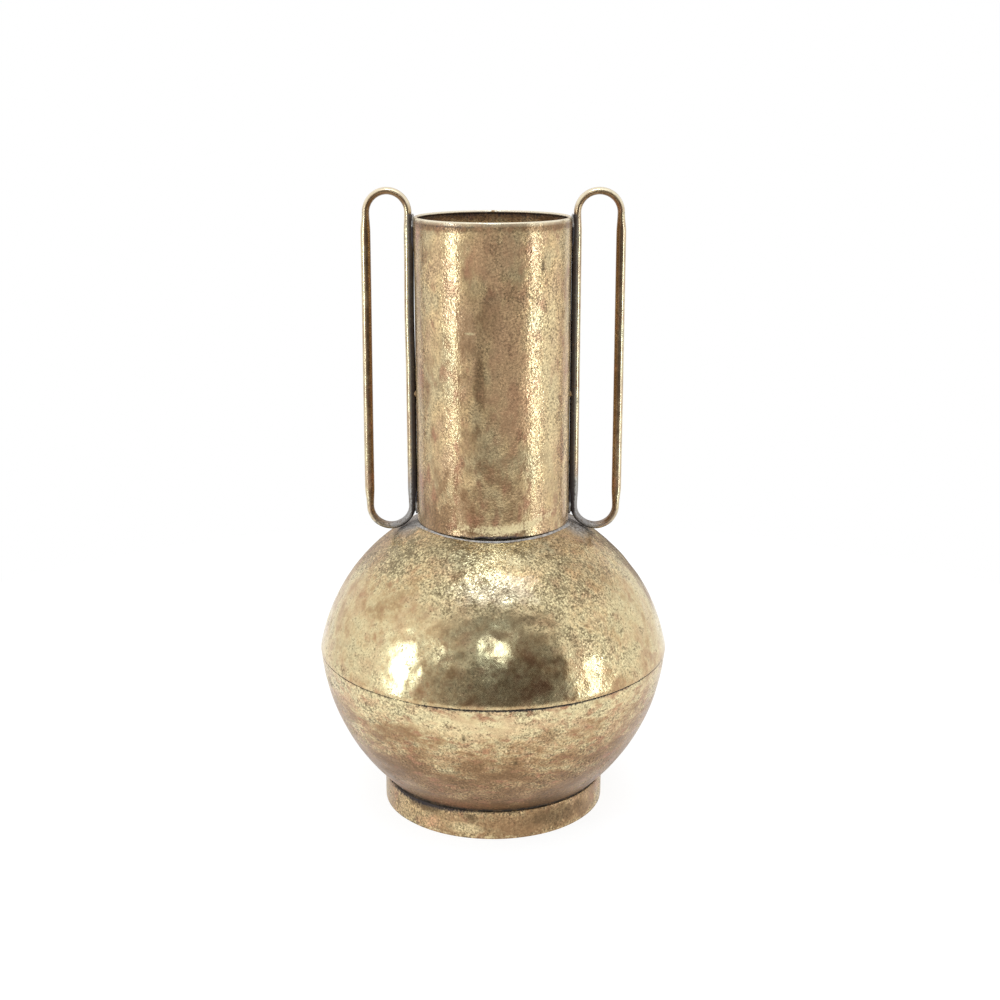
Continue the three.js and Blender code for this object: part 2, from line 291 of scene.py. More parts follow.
class Shader:
    """Adds nodes to a new material and joins them."""

    def __init__(self, name):
        self.material = bpy.data.materials.new(name)
        self.material.use_nodes = True
        self.tree = self.material.node_tree
        self.tree.nodes.clear()
        self.place = self.node("TexCoord").outputs["Object"]

    def node(self, kind, inputs=None, **settings):
        made = self.tree.nodes.new("ShaderNode" + kind)
        for name, value in settings.items():
            setattr(made, name, value)
        for name, value in (inputs or {}).items():
            if isinstance(value, bpy.types.NodeSocket):
                self.tree.links.new(value, made.inputs[name])
            else:
                made.inputs[name].default_value = value
        return made

    def calc(self, operation, first, second):
        return self.node("Math", {0: first, 1: second}, operation=operation).outputs[0]

    def total(self, *weighted):
        """Sum of (weight, value) pairs."""
        parts = [self.calc("MULTIPLY", value, weight) for weight, value in weighted]
        result = parts[0]
        for part in parts[1:]:
            result = self.calc("ADD", result, part)
        return result

    def remap(self, value, low, high, to_low=0.0, to_high=1.0):
        """Value brought from one range to another, and kept within it."""
        return self.node("MapRange", {
            "Value": value, "From Min": low, "From Max": high, "To Min": to_low, "To Max": to_high,
        }).outputs["Result"]

    def grain(self, size, seed, detail=3.0, rough=0.6, stretch=1.0):
        """Noise about 0.5 with features of about that size, drawn out upwards by stretch."""
        scale = (1, 1, 1 / stretch)
        place = self.node("VectorMath", {0: self.place, 1: scale}, operation="MULTIPLY").outputs[0]
        return self.node("TexNoise", {
            "Vector": place, "W": seed, "Scale": 1 / size, "Detail": detail, "Roughness": rough,
        }, noise_dimensions="4D").outputs["Fac"]

    def mark(self, name):
        """Value of a named mark on the surface, or 0 where the mesh has no such mark."""
        return self.node("Attribute", attribute_name=name).outputs["Fac"]

    def blend(self, factor, first, second):
        """Mix of two colours."""
        return self.node("Mix", {0: factor, 6: first, 7: second}, data_type="RGBA").outputs[2]

    def near_place(self, place, width, height):
        """About 0 in the middle of a spot on the surface, and 1 at its rim."""
        offset = self.node("VectorMath", {0: self.place, 1: place}, operation="SUBTRACT").outputs[0]
        scale = (1 / width, 1 / width, 1 / height)
        scaled = self.node("VectorMath", {0: offset, 1: scale}, operation="MULTIPLY").outputs[0]
        return self.node("VectorMath", {0: scaled}, operation="LENGTH").outputs["Value"]

    def finish(self, surface):
        output = self.node("OutputMaterial")
        self.tree.links.new(surface, output.inputs["Surface"])
        return self.material


def colour(red, green, blue):
    return (red, green, blue, 1.0)


# Colours of the metal and of what lies on it
# BRIGHT paints highlights; it is not a colour of the metal
BRIGHT = colour(0.93, 0.85, 0.66)
PALE = colour(0.88, 0.73, 0.42)
YELLOW_GOLD = colour(0.78, 0.655, 0.38)
RED_GOLD = colour(0.80, 0.57, 0.295)
TAN = colour(0.61, 0.445, 0.235)
BROWN = colour(0.33, 0.20, 0.10)
UMBER = colour(0.20, 0.115, 0.055)
ROSE = colour(0.57, 0.37, 0.215)
COPPER = colour(0.86, 0.53, 0.30)
OLIVE = colour(0.48, 0.435, 0.27)
RUST = colour(0.42, 0.21, 0.12)
SPECK = colour(0.12, 0.08, 0.04)
# Near-black for dirt, and for painted shade in joints, gaps and insides
GRIME_AND_SHADE = colour(0.035, 0.027, 0.030)
# Near-black of the foot's filler, which also paints the shade in the groove
SOOT_AND_SHADE = colour(0.03, 0.024, 0.018)
HEATED = colour(0.35, 0.34, 0.335)
FILLER_PALE = colour(0.58, 0.55, 0.51)
FILLER_DARK = colour(0.24, 0.23, 0.23)
FILLER_BROWN = colour(0.07, 0.055, 0.04)
FILLER_GOLD = colour(0.46, 0.34, 0.19)


def stain(degrees, radius, height, half_width, half_height, tint, strength):
    """Mark on the outside of the vase, at an angle from the front, a radius and a height, in millimetres."""
    turn = math.radians(degrees)
    place = (radius * math.sin(turn) * MM, -radius * math.cos(turn) * MM, height * MM)
    return place, half_width * MM, half_height * MM, tint, strength


NECK_STAINS = [
    stain(38, 51, 374, 2.2, 6, SPECK, 0.8),
    stain(-9, 51, 306, 4.8, 38, UMBER, 0.75),
    stain(-2, 51, 344, 9, 16, BROWN, 0.6),
    stain(15, 51, 292, 5.5, 16, RUST, 0.75),
    stain(13, 51, 360, 7, 11, RUST, 0.5),
    stain(62, 51, 259, 4, 12, RUST, 0.6),
    stain(46, 51, 300, 11, 90, PALE, 0.4),
    stain(48, 51, 214, 7, 5, RUST, 0.6),
    stain(-13, 51, 228, 13, 13, BROWN, 0.45),
    stain(2, 51, 384, 24, 26, COPPER, 0.55),
    stain(12, 51, 310, 18, 70, COPPER, 0.55),
    stain(1, 51, 388, 7.0, 9, RUST, 0.45),
    stain(-16, 51, 334, 4.5, 1.2, PALE, 0.9),
]
BELLY_STAINS = [
    stain(-9, 115, 90, 1.6, 4, SPECK, 0.9),
    stain(7.5, 109, 70.5, 2.2, 2, SPECK, 0.8),
    stain(18, 115, 89.5, 10, 8, BROWN, 0.65),
    stain(-33, 113, 86, 26, 10, BROWN, 0.5),
    stain(-78, 80, 182, 26, 15, BROWN, 0.5),
    stain(55, 85, 176, 22, 17, BROWN, 0.35),
    stain(15, 118, 124, 9, 8, RUST, 0.6),
    stain(-20, 78, 25, 34, 8, RUST, 0.5),
    stain(0, 62, 194, 48, 12, OLIVE, 0.75),
    # Painted highlight on the shoulder, where the top lamps shine
    stain(2, 88, 176, 34, 10, BRIGHT, 0.5),
    # Painted reflection of the white floor, just below the seam
    stain(-6, 117, 97, 48, 8, PALE, 0.45),
    stain(-2, 98, 163, 40, 15, OLIVE, 0.5),
]
FOOT_STAINS = [
    stain(18, 76, 9, 46, 13, BROWN, 0.7),
    stain(33, 76, 11, 26, 8, SPECK, 0.6),
    # Painted highlight on the foot ring
    stain(-14, 76, 7, 13, 4.5, PALE, 0.55),
    stain(-38, 76, 16, 18, 4, SPECK, 0.75),
    stain(-11, 76, 15, 6, 3.5, SPECK, 0.7),
    stain(-34, 76, 7, 11, 6, COPPER, 0.5),
]


def brass(name, seed, gold, roughness, relief, tarnish, metal, crackle=0.7, stretch=1.0, stains=()):
    """Antique brass.

    The gold goes to tan, rose, olive, brown and rust in clouds, as far as tarnish says, and to brown where a
    mark asks for it, which on some parts paints shade. Stains, a few of them painted highlights and
    reflections, and the grey of heated metal lie over that, then a fine crackle and dark specks, and last
    dirt and painted shade in corners, pale scuffs and painted highlights, and smoothed places with a painted
    highlight. stretch draws the clouds out upwards, and relief is the depth of the pits.
    """
    shader = Shader(name)
    broad = shader.grain(36 * MM, seed, detail=8, rough=0.66, stretch=stretch)
    cloud = shader.grain(8 * MM, seed + 1, detail=6, rough=0.66, stretch=stretch)
    tint = shader.grain(15 * MM, seed + 2, detail=2, rough=0.55, stretch=stretch)
    rust = shader.grain(9 * MM, seed + 3, detail=2, rough=0.55, stretch=stretch)
    stipple = shader.grain(1.2 * MM, seed + 4, detail=2, rough=0.7)
    grit = shader.grain(1.4 * MM, seed + 5, detail=2, rough=0.7)
    pitting = shader.grain(1.4 * MM, seed + 6, detail=1, rough=0.5)
    dimples = shader.grain(7 * MM, seed + 7, detail=1, rough=0.4)
    brown = shader.mark("brown")
    clean = shader.mark("clean")
    coarse = shader.mark("coarse")
    scorch = shader.mark("scorch")
    polish = shader.mark("polish")

    # Clouds of tarnish
    tone = shader.total((0.7, broad), (0.65, cloud), (-0.28, brown), (0.1, clean), (-0.17, 1.0))
    face = shader.blend(shader.remap(tone, 0.55, 0.40), gold, TAN)
    face = shader.blend(shader.remap(tint, 0.50, 0.64, 0.0, 0.75 * tarnish), face, ROSE)
    face = shader.blend(shader.remap(tint, 0.50, 0.36, 0.0, 0.42 * tarnish), face, OLIVE)
    face = shader.blend(shader.remap(tone, 0.46, 0.32, 0.0, tarnish), face, BROWN)
    face = shader.blend(shader.remap(tone, 0.33, 0.19, 0.0, 0.85 * tarnish), face, UMBER)
    face = shader.blend(shader.remap(rust, 0.54, 0.69, 0.0, 0.8 * tarnish), face, RUST)

    # Stains with ragged rims, and heated metal
    for place, width, height, dye, strength in stains:
        rim = shader.total((1.0, shader.near_place(place, width, height)), (2.2, cloud), (-1.1, 1.0))
        face = shader.blend(shader.remap(rim, 1.0, 0.45, 0.0, strength), face, dye)
    ashen = shader.total((1.0, scorch), (1.0, cloud), (-0.5, 1.0))
    heated = shader.remap(ashen, 0.2, 0.7, 0.0, 0.92)
    face = shader.blend(heated, face, HEATED)

    # Crackle, deepest on coarse metal, and crowds of specks
    patchy = shader.total((1.0, coarse), (4.0, broad), (-2.0, 1.0))
    depth = shader.remap(patchy, 0.0, 1.0, 0.2 * crackle, crackle)
    swing = shader.calc("MULTIPLY", shader.remap(grit, 0.3, 0.7, -1.0, 1.0), depth)
    value = shader.calc("ADD", swing, 1.0)
    face = shader.node("HueSaturation", {"Color": face, "Value": value}).outputs["Color"]
    crowd = shader.total((1.0, stipple), (0.7, cloud), (0.6, broad), (0.09, coarse), (-0.695, 1.0))
    specks = shader.remap(crowd, 0.53, 0.66, 0.0, 0.7)
    face = shader.blend(specks, face, SPECK)

    # Dirt and painted shade, pale scuffs and painted highlights, and smoothed places with a painted
    # highlight
    ragged = shader.total((1.0, shader.mark("grime")), (0.8, cloud), (1.0, stipple), (-0.9, 1.0))
    grime = shader.remap(ragged, 0.30, 0.65, 0.0, 0.95)
    face = shader.blend(grime, face, GRIME_AND_SHADE)
    # The wear mark turns the metal pale: scuffs, and painted highlights where a line or arc catches the
    # light
    worn_and_highlit = shader.total((1.0, shader.mark("wear")), (1.8, grit), (1.0, cloud), (-1.4, 1.0))
    rubbed_and_highlit = shader.remap(worn_and_highlit, 0.3, 0.8)
    face = shader.blend(rubbed_and_highlit, face, PALE)
    # The polish mark smooths the metal and paints a highlight in BRIGHT
    face = shader.blend(polish, face, BRIGHT)

    # Dullness and relief
    spread = shader.remap(cloud, 0.3, 0.7, roughness - 0.06, roughness + 0.1)
    dull = shader.total(
        (1.0, spread), (0.2, specks), (0.35, grime), (0.12, brown), (0.3, scorch), (0.3, rubbed_and_highlit),
        (-0.1, polish), (0.02, coarse),
    )
    pit_depth = shader.remap(coarse, 0.0, 1.0, 0.4 * relief, 2.8 * relief)
    dimple_depth = shader.remap(coarse, 0.5, 1.0, 0.3 * MM, 0.6 * MM)
    pits = shader.node("Bump", {"Strength": 1.0, "Distance": pit_depth, "Height": pitting})
    waves = shader.node("Bump", {
        "Strength": 1.0, "Distance": dimple_depth, "Height": dimples, "Normal": pits.outputs["Normal"],
    })
    matt = shader.calc("MAXIMUM", grime, rubbed_and_highlit)
    matt = shader.calc("MAXIMUM", matt, shader.calc("MULTIPLY", heated, 0.6))
    surface = shader.node("BsdfPrincipled", {
        "Base Color": face, "Roughness": dull, "Normal": waves.outputs["Normal"],
        "Metallic": shader.remap(matt, 0.0, 1.0, metal, 0.35),
    })
    return shader.finish(surface.outputs["BSDF"])


def braze_metal(name, seed, pale, dark):
    """Lumpy filler metal, pale on its crests and dark in its hollows, and darkened where the grime mark
    says, as dirt and as painted shade.
    """
    shader = Shader(name)
    lumps = shader.grain(2.5 * MM, seed, detail=5, rough=0.68)
    patches = shader.grain(7 * MM, seed + 1, detail=5, rough=0.65)
    face = shader.blend(shader.remap(lumps, 0.36, 0.60), dark, pale)
    face = shader.blend(shader.remap(patches, 0.52, 0.70, 0.0, 0.7), face, BROWN)
    ragged = shader.total((1.0, shader.mark("grime")), (1.2, lumps), (-0.6, 1.0))
    grime = shader.remap(ragged, 0.3, 0.7, 0.0, 0.95)
    face = shader.blend(grime, face, GRIME_AND_SHADE)
    bump = shader.node("Bump", {"Strength": 0.7, "Distance": 0.35 * MM, "Height": lumps})
    surface = shader.node("BsdfPrincipled", {
        "Base Color": face, "Metallic": 0.8, "Normal": bump.outputs["Normal"],
        "Roughness": shader.remap(patches, 0.3, 0.7, 0.36, 0.58),
    })
    return shader.finish(surface.outputs["BSDF"])


upper_brass = brass(
    "upper_bowl_brass", seed=1.0, gold=YELLOW_GOLD, roughness=0.19, relief=0.09 * MM, tarnish=0.55,
    metal=0.97, stains=BELLY_STAINS,
)
lower_brass = brass(
    "lower_bowl_brass", seed=12.0, gold=YELLOW_GOLD, roughness=0.22, relief=0.1 * MM, tarnish=1.0,
    metal=0.93, stretch=0.5, stains=BELLY_STAINS,
)
neck_brass = brass(
    "neck_brass", seed=23.0, gold=RED_GOLD, roughness=0.17, relief=0.17 * MM, tarnish=1.0, metal=0.62,
    crackle=1.0, stretch=1.8, stains=NECK_STAINS,
)
handle_brass = brass(
    "handle_brass", seed=34.0, gold=YELLOW_GOLD, roughness=0.14, relief=0.03 * MM, tarnish=0.8, metal=0.93,
    crackle=0.15,
)
foot_brass = brass(
    "foot_brass", seed=45.0, gold=RED_GOLD, roughness=0.24, relief=0.1 * MM, tarnish=0.85, metal=0.87,
    stains=FOOT_STAINS,
)
grey_braze = braze_metal("grey_braze", seed=56.0, pale=FILLER_PALE, dark=FILLER_DARK)
dark_braze = braze_metal("dark_braze", seed=67.0, pale=FILLER_BROWN, dark=SOOT_AND_SHADE)
gold_braze = braze_metal("gold_braze", seed=78.0, pale=FILLER_GOLD, dark=BROWN)


def dress(obj, node, slot, material):
    """Put an object in the place of a CAD node."""
    obj.data.materials.append(material)
    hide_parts(node)
    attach(obj, "root")


# Upper bowl

EDGE_ROLL_HEIGHT = 2.4 * MM
EDGE_ROLL_DEPTH = 0.25 * MM
SMOOTH_TOP = 158 * MM


def seam_rise(points):
    """How far the seam strays from its plane: a slow wave, higher on the left, and small ripples."""
    angle = degrees_from_front(points)
    slow = 0.9 * near(angle, -62, 50) + 0.4 * near(angle, 58, 45)
    return (slow + 0.22 * wander(points * [1, 1, 0], 14 * MM, seed=6)) * MM


def upper_swell(face):
    """Slow waves and hammer marks, deeper in some zones, that fade out at the seam."""
    bowl = (upper_centre, UPPER_BOWL_RADIUS, SEAM_HEIGHT + 7 * MM, SHOULDER_HEIGHT - 4 * MM)
    large = blows_in_rows(*bowl, pitch=11 * MM, deepest=0.5 * MM, seed=3)
    small = blows_in_rows(*bowl, pitch=6.5 * MM, deepest=0.1 * MM, seed=4)
    zone = 0.45 + 0.55 * fade(wander(face, 60 * MM, seed=2), -0.3, 0.4)
    slow = wander(face, 38 * MM, seed=4) * 0.2 * MM
    quiet = fade(face[:, 2], SEAM_HEIGHT + 3 * MM, SEAM_HEIGHT + 11 * MM)
    return quiet * (slow - zone * hammered(face, large + small))


def push_upper(points):
    """Hammered face, lower edge rolled inwards, and a seam that strays."""
    moved = push_from_arc(points, upper_centre, UPPER_BOWL_RADIUS, upper_swell)
    edge = 1 - np.clip((points[:, 2] - SEAM_HEIGHT) / EDGE_ROLL_HEIGHT, 0, 1)
    moved = push_radially(moved, -EDGE_ROLL_DEPTH * edge ** 2)
    moved[:, 2] += near(points[:, 2], SEAM_HEIGHT, 12 * MM) * seam_rise(points)
    return moved


def mark_upper(points):
    """Dirt and painted shade at the seam and round the neck, painted shade all over the inside, heated metal
    beside the handles, and a coarse shoulder.
    """
    height = points[:, 2]
    angle = degrees_from_front(points)
    outside = distance_from_axis(points) > collar_radius + MM
    edge = near(height, SEAM_HEIGHT, 4 * MM)
    low_front = near(height, SEAM_HEIGHT + 12 * MM, 22 * MM) * near(angle, 10, 40)
    # Dark at the seam's step and at the foot of the neck: dirt and painted shade; dark inside, as painted
    # shade
    grime = 0.8 * near(height, SEAM_HEIGHT - MM, 1.5 * MM)
    grime += 0.45 * near(height, SHOULDER_HEIGHT + MM, 4 * MM)
    shoulder = fade(height, SHOULDER_HEIGHT - 22 * MM, SHOULDER_HEIGHT)
    return {
        "grime": np.where(outside, grime, 0.9),
        "brown": 0.25 * shoulder + 0.3 * edge + 0.15 * low_front,
        "scorch": near(np.abs(angle), 90, 40) * near(height, SHOULDER_HEIGHT, 16 * MM),
        "coarse": fade(height, SMOOTH_TOP, SMOOTH_TOP + 22 * MM) + 0.7 * near(angle, 38, 20),
    }


def upper_bowl():
    inside = UPPER_BOWL_RADIUS - BOWL_WALL
    seam = angle_at_height(upper_centre, UPPER_BOWL_RADIUS, SEAM_HEIGHT)
    lip = angle_at_height(upper_centre, UPPER_BOWL_RADIUS, SEAM_HEIGHT + 2 * EDGE_ROLL_HEIGHT)
    edge_centre = arc_points(upper_centre, UPPER_BOWL_RADIUS - BOWL_WALL / 2, seam, seam, 1)[0]

    def angle_to(distance, lift):
        return math.atan2(shoulder_at(distance, lift) - upper_centre.y, distance - upper_centre.x)

    profile = [
        *arc_points(upper_centre, UPPER_BOWL_RADIUS, seam, lip, 10)[:-1],
        *arc_points(upper_centre, UPPER_BOWL_RADIUS, lip, angle_to(collar_radius, 0), 68),
        (collar_radius, COLLAR_TOP),
        (collar_radius - BOWL_WALL, COLLAR_TOP),
        *arc_points(upper_centre, inside, angle_to(collar_radius - BOWL_WALL, -BOWL_WALL), lip, 30),
        *arc_points(upper_centre, inside, lip, seam, 10)[1:],
        *arc_points(edge_centre, BOWL_WALL / 2, seam - math.pi, seam, 6)[1:-1],
    ]
    bowl = revolve("hammered_upper_bowl", profile, BOWL_TURN_STEPS, push_upper, mark_upper)
    dress(bowl, "upper_bowl", "antique_brass", upper_brass)


# Lower bowl

QUIET_EDGE = 8 * MM


def lower_swell(face):
    """Slow waves and shallow hammer marks, that fade out at the foot and the seam."""
    bowl = (lower_centre, LOWER_BOWL_RADIUS, FOOT_HEIGHT + QUIET_EDGE, ledge_height - QUIET_EDGE)
    blows = blows_in_rows(*bowl, pitch=13 * MM, deepest=0.16 * MM, seed=5)
    slow = wander(face, 45 * MM, seed=8) * 0.2 * MM
    foot_end = fade(face[:, 2], FOOT_HEIGHT, FOOT_HEIGHT + QUIET_EDGE)
    seam_end = fade(face[:, 2], ledge_height, ledge_height - QUIET_EDGE)
    return foot_end * seam_end * (slow - hammered(face, blows))


def push_lower(points):
    """Hammered face, and a ledge that follows the seam but gapes a little in front on the right."""
    moved = push_from_arc(points, lower_centre, LOWER_BOWL_RADIUS, lower_swell)
    opening = 0.3 * MM * near(degrees_from_front(points), 12, 38)
    moved[:, 2] += near(points[:, 2], ledge_height, 14 * MM) * (seam_rise(points) - opening)
    return moved


def mark_lower(points):
    """Dirt and painted shade in the seam and at the foot, a painted highlight on the left, and brown
    blotches down to the foot.
    """
    height = points[:, 2]
    angle = degrees_from_front(points)
    seam_shade_line = near(height, ledge_height + 0.4 * MM, 1.2 * MM)
    drop = ledge_height - height + 14 * MM * wander(points, 34 * MM, seed=17)
    blotches = 1 + 0.6 * wander(points * [1, 1, 2], 18 * MM, seed=18)
    return {
        # Dark in the seam and just above the foot: dirt and painted shade
        "grime": (0.45 + 0.55 * near(angle, 12, 60)) * seam_shade_line + 0.5 * near(height, FOOT_HEIGHT, 7 * MM),
        # Pale line along the ledge on the left: a painted highlight
        "wear": 0.6 * near(height, ledge_height - 1.5 * MM, 1.5 * MM) * near(angle, -36, 25),
        "brown": 0.75 * blotches * fade(drop, 0, 62 * MM) + 0.35 * near(height, FOOT_HEIGHT, 22 * MM),
        "clean": fade(height, ledge_height - 20 * MM, ledge_height - 8 * MM) * near(angle, 0, 70),
        "coarse": np.full(len(points), 0.5),
    }


def lower_bowl():
    wall_inside = LOWER_BOWL_RADIUS - BOWL_WALL
    lip = UPPER_BOWL_RADIUS - BOWL_WALL - SEAT_GAP
    reach = LOWER_BOWL_RADIUS - KNUCKLE_RADIUS
    knuckle_height = FLOOR_HEIGHT + KNUCKLE_RADIUS
    knuckle = (radius_at_height(lower_centre, reach, knuckle_height), knuckle_height)
    knuckle_end = angle_at_height(lower_centre, reach, knuckle_height)
    wall_end = angle_at_height(lower_centre, LOWER_BOWL_RADIUS, ledge_height)
    wall_end_inside = angle_at_height(lower_centre, wall_inside, ledge_height - 2 * BOWL_WALL)
    floor_rings = [(knuckle[0] * share, FLOOR_HEIGHT) for share in (0.1, 0.3, 0.5, 0.75)]
    profile = [
        *floor_rings,
        *arc_points(knuckle, KNUCKLE_RADIUS, -math.pi / 2, knuckle_end, 8),
        *arc_points(lower_centre, LOWER_BOWL_RADIUS, knuckle_end, wall_end, 76)[1:],
        *arc_by_height(upper_centre, lip, ledge_height, LIP_TOP, 4),
        *arc_by_height(upper_centre, lip - BOWL_WALL, LIP_TOP, ledge_height - BOWL_WALL, 4),
        *arc_points(lower_centre, wall_inside, wall_end_inside, knuckle_end, 38),
        *arc_points(knuckle, KNUCKLE_RADIUS - BOWL_WALL, knuckle_end, -math.pi / 2, 8)[1:],
        *[(distance, height + BOWL_WALL) for distance, height in reversed(floor_rings)],
    ]
    bowl = revolve("hammered_lower_bowl", profile, BOWL_TURN_STEPS, push_lower, mark_lower, closed=False)
    dress(bowl, "lower_bowl", "antique_brass", lower_brass)


# Neck

NECK_FLARE = 1.7 * MM
FLARE_HEIGHT = 7 * MM


def push_neck(points):
    """Slow waves in the sheet, and a foot that flares and lifts unevenly in front."""
    free = fade(points[:, 2], RIM_HEIGHT, RIM_HEIGHT - 12 * MM) * fade(np.abs(points[:, 1]), 0, 20 * MM)
    swell = wander(points, 40 * MM, seed=10) * 0.22 * MM + wander(points, 15 * MM, seed=11) * 0.05 * MM
    front = near(degrees_from_front(points), 0, 60)
    flare = NECK_FLARE * front * (1 - np.clip((points[:, 2] - NECK_FOOT) / FLARE_HEIGHT, 0, 1)) ** 2
    moved = push_radially(points, (0.2 + 0.8 * free) * swell + flare)
    foot = near(points[:, 2], NECK_FOOT, 3 * MM) * front
    moved[:, 2] += foot * np.maximum(0.4 + wander(points, 6 * MM, seed=12), 0) * MM
    return moved


def mark_neck(points):
    """Polished bead with a painted highlight and painted shade below it, dirt and painted shade at the foot
    and by the handles, painted shade inside, and a pale arc in front that is a painted highlight.
    """
    height = points[:, 2]
    inside = distance_from_axis(points) < neck_inside + NECK_WALL / 2
    bead = fade(height, RIM_HEIGHT - 1.5 * MM, RIM_HEIGHT - 0.6 * MM)
    shade_under_bead = near(height, RIM_HEIGHT - 4 * MM, 4 * MM)
    shade_inside_rim = fade(height, RIM_HEIGHT - 5 * MM, RIM_HEIGHT - 3 * MM)
    angle = degrees_from_front(points)
    front = near(angle, 2, 30)
    # Dark in the gap under the lifted foot, beside the handles and under the bead: dirt and painted shade
    grime = near(height, NECK_FOOT, 3 * MM) * (0.35 + 0.6 * front)
    grime += 0.3 * near(height, RIM_HEIGHT - 3 * MM, 8 * MM) * near(angle, -35, 40)
    grime += 0.25 * near(height, RIM_HEIGHT - 2.6 * MM, 2.5 * MM)
    grime += 0.9 * near(np.abs(angle), 90, 5)
    # The pale arc round the front of the neck's foot is a painted highlight
    arc_height = NECK_FOOT + 5 * MM + 5 * MM * (angle / 38) ** 2
    arc = near(height, arc_height, 6 * MM) * near(angle, 12, 75)
    low_left = fade(height, NECK_FOOT + 50 * MM, NECK_FOOT) * near(angle, -45, 40)
    left_edge = near(angle, -65, 22)
    brown = 0.12 + 0.6 * low_left + 0.7 * shade_under_bead + 0.3 * left_edge
    # Inside, the dark and the brown paint the shade of the interior; under the bead the brown paints its
    # shade
    return {
        "grime": np.where(inside, 0.1 + 0.45 * shade_inside_rim, grime) * (1 - bead),
        "wear": np.where(inside, 0, 0.8 * arc),
        "polish": 0.85 * bead,
        "brown": np.where(inside, 0.4 + 0.9 * shade_inside_rim, brown),
        "coarse": 0.25 + 0.25 * near(np.abs(angle), 36, 16),
    }


def neck_profile():
    """Outside from the foot to the rim, the curl of the bead, and the inside down again."""
    bead = (NECK_RADIUS - RIM_BEAD_RADIUS, RIM_HEIGHT - RIM_BEAD_RADIUS)
    curl_end = WHOLE_TURN - math.acos((neck_inside - bead[0]) / RIM_BEAD_RADIUS)
    flare_top = NECK_FOOT + FLARE_HEIGHT
    flared = np.linspace(NECK_FOOT, flare_top, 12)[:-1]
    straight = np.linspace(flare_top, bead[1], 98)
    heights = np.concatenate([flared, straight])
    return [
        *[(NECK_RADIUS, height) for height in heights[:-1]],
        *arc_points(bead, RIM_BEAD_RADIUS, 0, curl_end, 18),
        *[(neck_inside, height) for height in heights[-4:0:-3]],
        (neck_inside, NECK_FOOT),
    ]


def sheet_span(radius):
    """Angles at which a rolled sheet starts and ends, on either side of its joint at the back."""
    half = SHEET_JOINT_WIDTH / 2 / radius
    return BACK + half, BACK + WHOLE_TURN - half


def neck_tube():
    span = sheet_span(NECK_RADIUS)
    tube = revolve("rolled_neck", neck_profile(), SHEET_TURN_STEPS, push_neck, mark_neck, span)
    dress(tube, "neck_tube", "antique_brass", neck_brass)


# Foot ring

def push_foot(points):
    """Slow waves in the strip, and an uneven top."""
    moved = push_radially(points, wander(points, 30 * MM, seed=14) * 0.2 * MM)
    top = near(points[:, 2], FOOT_HEIGHT, 4 * MM)
    moved[:, 2] += top * wander(points * [1, 1, 0], 12 * MM, seed=15) * 0.2 * MM
    return moved


def mark_foot(points):
    """Dirt and painted shade along the top, most on the left, a painted shadow along the bottom edge on the
    table, painted shade inside, and a scuffed pale lower edge.
    """
    height = points[:, 2]
    inside = distance_from_axis(points) < FOOT_RADIUS - FOOT_WALL / 2
    left = near(degrees_from_front(points), -40, 45)
    top = near(height, FOOT_HEIGHT, 6 * MM)
    return {
        # Dark at the top by the groove and at the bottom edge on the table: dirt and painted shade
        "grime": np.where(inside, 0.8, (0.35 + 0.5 * left) * top + 0.35 * near(height, 0, 1.5 * MM)),
        "wear": np.where(inside, 0, 0.45 * near(height, 1.5 * MM, 2 * MM)),
        "brown": np.full(len(points), 0.4),
        "coarse": np.full(len(points), 0.6),
    }


def foot_profile():
    """Outside from the table to the top, a round edge, and the inside down again."""
    edge = (FOOT_RADIUS - FOOT_WALL / 2, FOOT_HEIGHT - FOOT_WALL / 2)
    heights = np.linspace(0, edge[1], 16)
    return [
        *[(FOOT_RADIUS, height) for height in heights[:-1]],
        *arc_points(edge, FOOT_WALL / 2, 0, math.pi, 8),
        *[(FOOT_RADIUS - FOOT_WALL, height) for height in heights[-2::-1]],
    ]


def foot_ring():
    span = sheet_span(FOOT_RADIUS)
    ring = revolve("rolled_foot_ring", foot_profile(), SHEET_TURN_STEPS, push_foot, mark_foot, span)
    dress(ring, "foot_ring", "dark_brass", foot_brass)


# Handles

loop_half_width = (handle_high.x - handle_low.x) / 2
loop_x = (handle_high.x + handle_low.x) / 2
bend_reach = loop_half_width - OUTER_WALL_SHARE * (2 * TUBE_RADIUS - BEND_THICKNESS)
top_bend = handle_high.z - bend_reach
low_bend = handle_low.z + bend_reach
tube_joint = low_bend + TUBE_JOINT_RISE
INNER_LEG_SHIFT = 0.9 * MM
BOW_HEIGHT = 340 * MM


def handle_stations():
    """Height of the middle of a bend or leg and angle out of the loop, from one tube end to the other."""
    flat_end, flat_start = low_bend + FLATTENING_RUN, top_bend - FLATTENING_RUN
    legs = np.concatenate([
        np.linspace(low_bend, flat_end, 12),
        np.linspace(flat_end, flat_start, 40)[1:-1],
        np.linspace(flat_start, top_bend, 12),
    ])
    turns = np.linspace(0, math.pi, 41)[1:-1]
    above = [height for height in legs if height > tube_joint + TUBE_JOINT_WIDTH]
    below = [height for height in legs if height < tube_joint - TUBE_JOINT_WIDTH]
    return [
        (tube_joint + TUBE_JOINT_WIDTH / 2, math.pi),
        *[(height, math.pi) for height in above],
        *[(top_bend, math.pi - turn) for turn in turns],
        *[(height, 0.0) for height in legs[::-1]],
        *[(low_bend, -turn) for turn in turns],
        *[(height, -math.pi) for height in below],
        (tube_joint - TUBE_JOINT_WIDTH / 2, -math.pi),
    ]


